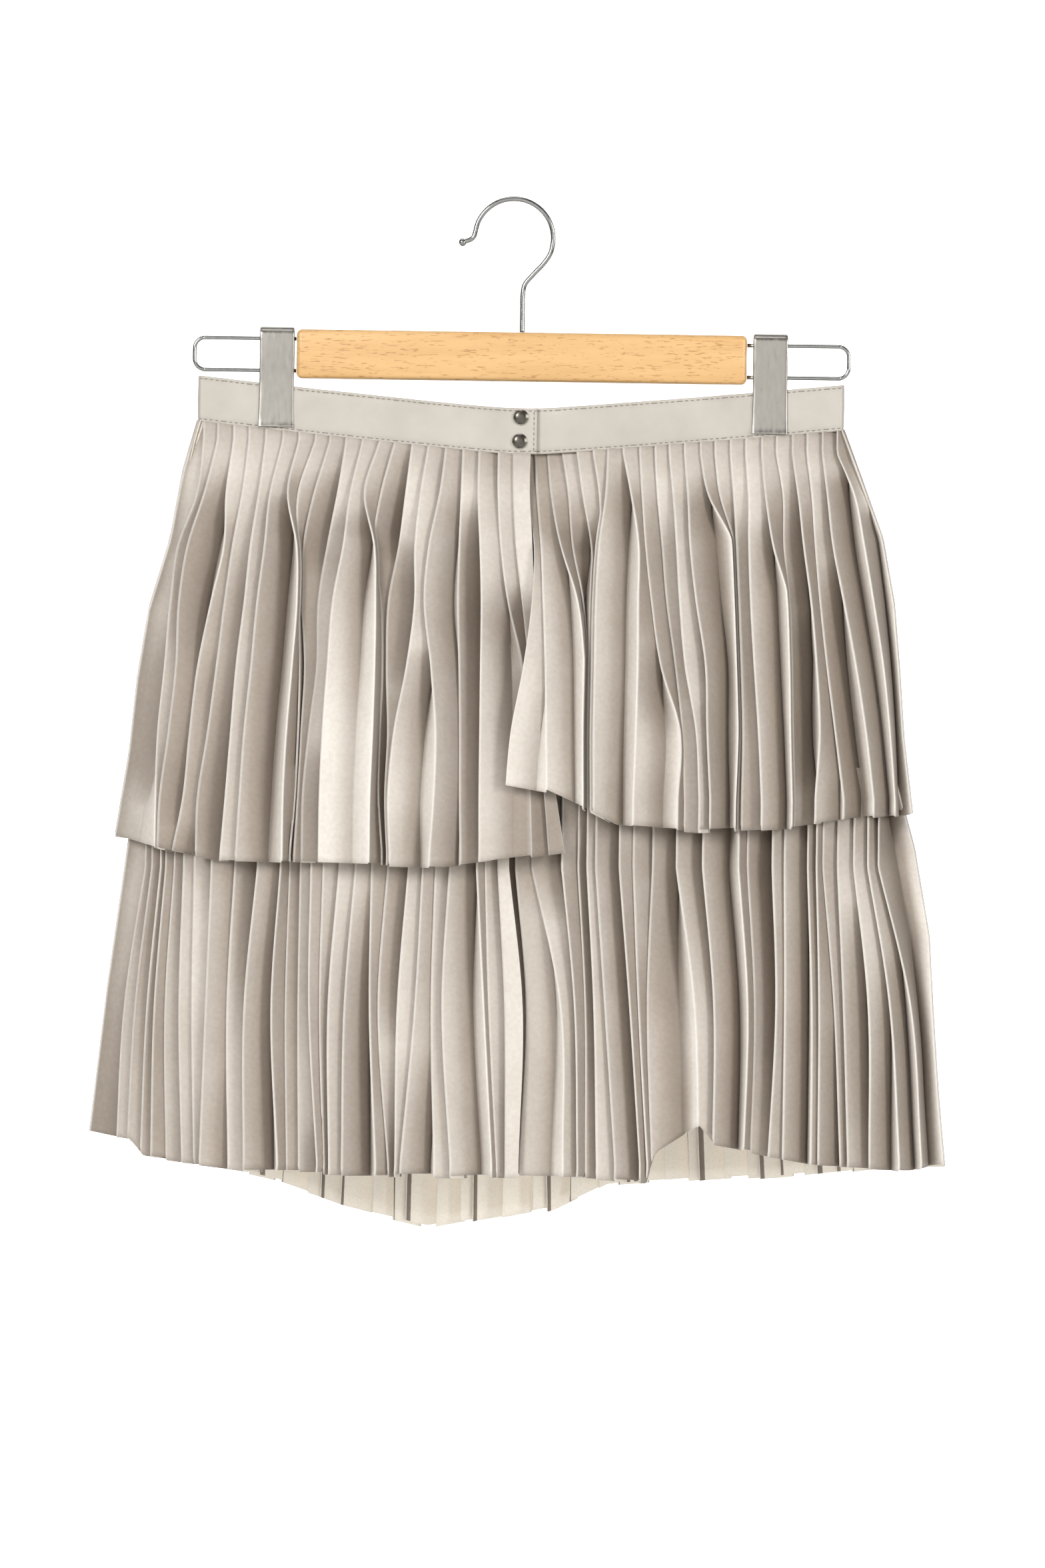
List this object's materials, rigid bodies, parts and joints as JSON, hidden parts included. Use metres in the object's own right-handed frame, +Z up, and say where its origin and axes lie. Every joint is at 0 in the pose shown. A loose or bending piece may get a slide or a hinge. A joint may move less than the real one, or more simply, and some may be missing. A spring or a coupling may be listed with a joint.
{
  "type": "mini skirt on a clip hanger",
  "caption": "Two-tier knife-pleated leather mini skirt with a snap waistband and front slit, hung from a wooden bar hanger by metal clips.",
  "frame": {"origin": "the hook's seat, the underside of its crown, in the middle plane of the wire", "axes": "+Z up, -Y out of the skirt's front, +X to the right of someone facing the front"},
  "size_m": [0.484, 0.1095, 0.5842],
  "materials": {
    "band_leather": "smooth satin waistband leather with topstitching",
    "pleated_leather": "thin satin pleated leather with raw edges",
    "underskirt_cloth": "plain matt underskirt cloth",
    "gunmetal": "dark polished gunmetal",
    "beech": "clear satin lacquer on beech",
    "chrome_wire": "bright plated wire",
    "clip_steel": "satin plated sheet steel"
  },
  "bodies": {
    "root": {"waistband_front_left": "band_leather", "waistband_front_right": "band_leather", "waistband_back": "band_leather", "upper_tier_front_left": "pleated_leather", "upper_tier_front_right": "pleated_leather", "upper_tier_back": "pleated_leather", "lower_tier_front_left": "pleated_leather", "lower_tier_front_right": "pleated_leather", "lower_tier_back": "pleated_leather", "underskirt_yoke_front": "underskirt_cloth", "underskirt_yoke_back": "underskirt_cloth", "underskirt_front": "underskirt_cloth", "underskirt_back": "underskirt_cloth", "snap_upper": "gunmetal", "snap_lower": "gunmetal", "hanger_bar": "beech", "hanger_hook": "chrome_wire", "hanger_loop_left": "chrome_wire", "hanger_loop_right": "chrome_wire", "clip_left": "clip_steel", "clip_right": "clip_steel", "clip_spring_left": "clip_steel", "clip_spring_right": "clip_steel"}
  },
  "joints": []
}
